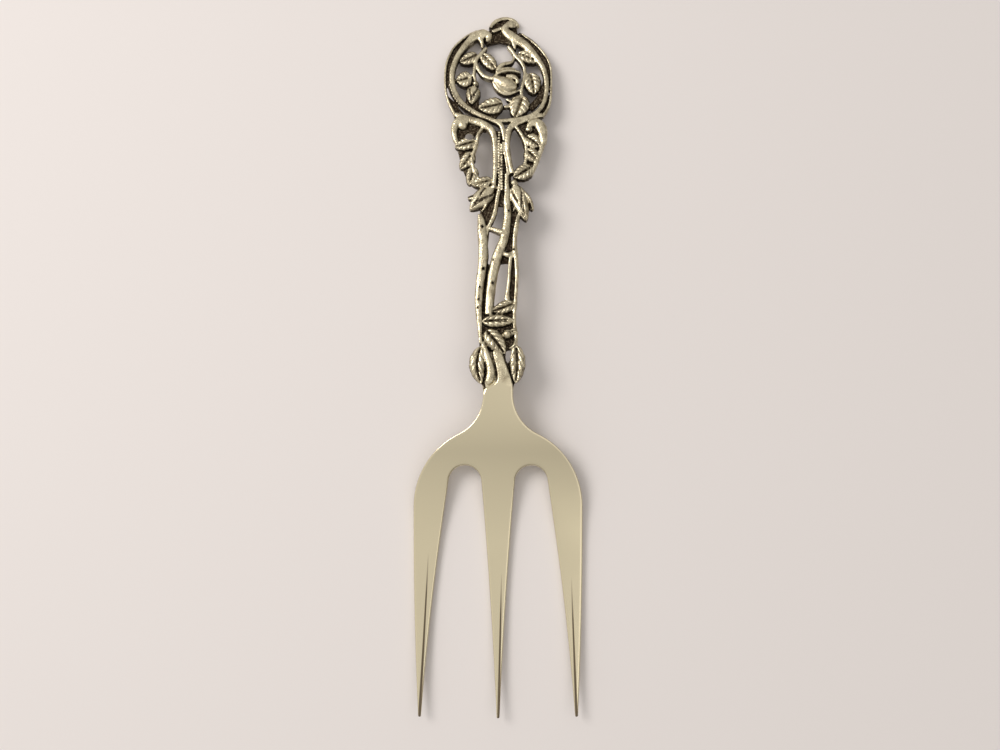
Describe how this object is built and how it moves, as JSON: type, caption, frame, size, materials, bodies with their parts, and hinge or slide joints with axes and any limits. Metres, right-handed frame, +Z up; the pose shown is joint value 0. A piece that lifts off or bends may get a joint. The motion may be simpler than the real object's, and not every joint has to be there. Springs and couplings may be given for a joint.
{
  "type": "serving fork",
  "caption": "Serving fork with a flat polished head of long tapering tines and an arched openwork handle of rose vines that ends in a ring.",
  "frame": {"origin": "centre of the fork's outline, on the table that it lies on", "axes": "+Y along the fork towards the end of the handle, tines towards -Y; +Z up, ornament side up; +X to the right seen from above with the handle at the top"},
  "size_m": [0.049, 0.2094, 0.0115],
  "materials": {
    "silver": "polished silver plate, slightly warm, with dark tarnish in the recesses of the ornament"
  },
  "bodies": {
    "root": {"serving_fork": "silver"}
  },
  "joints": []
}
